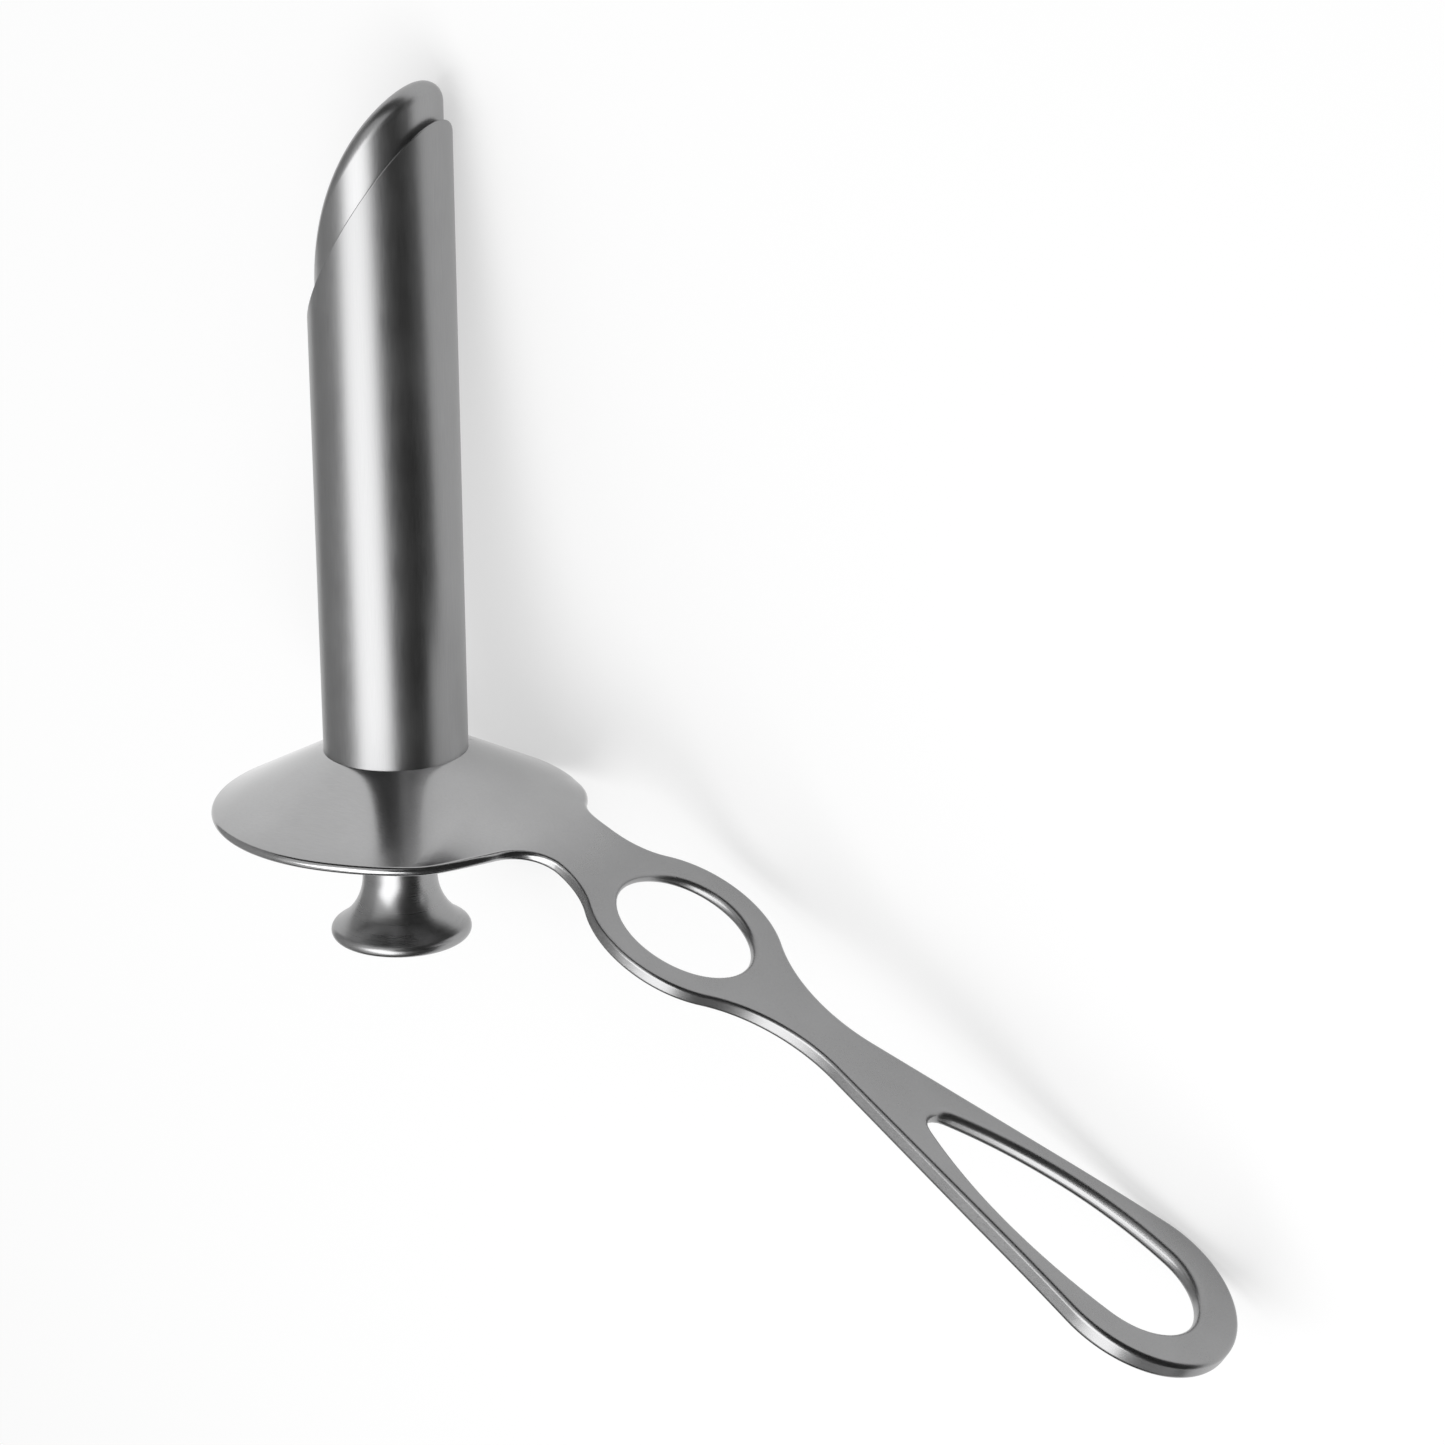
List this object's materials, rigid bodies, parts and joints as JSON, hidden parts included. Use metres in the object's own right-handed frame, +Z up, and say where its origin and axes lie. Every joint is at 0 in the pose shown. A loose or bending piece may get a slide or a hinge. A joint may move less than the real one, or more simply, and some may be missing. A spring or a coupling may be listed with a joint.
{
  "type": "anal speculum",
  "caption": "Straight steel tube with a slanted mouth on a shallow funnel flange, a flat ring-and-loop handle, and a lift-out obturator with a trumpet knob.",
  "frame": {"origin": "on the table under the middle of the box round the instrument, lying on its side as it comes to rest on the rim of the flange, the nose and the paddle", "axes": "+Z up from the table; the axis of the tube lies over +Y with the nose at +Y and tipped 10 degrees down; the handle leaves the flange towards +X and falls away towards -Y"},
  "size_m": [0.173, 0.1821, 0.0581],
  "materials": {
    "tube_steel": "satin drawn tube",
    "handle_steel": "satin, with rounded and polished edges",
    "obturator_steel": "fine satin, turned",
    "knob_steel": "polished, turned"
  },
  "bodies": {
    "speculum": {"tube": "tube_steel", "flange_handle": "handle_steel"},
    "obturator": {"obturator_head": "obturator_steel", "obturator_rod": "obturator_steel", "obturator_knob": "knob_steel"}
  },
  "joints": [
    {"name": "obturator_slide", "type": "slide", "parent": "speculum", "child": "obturator", "axis": [0, -0.9841, 0.1778], "range_m": [0, 0.125]}
  ]
}
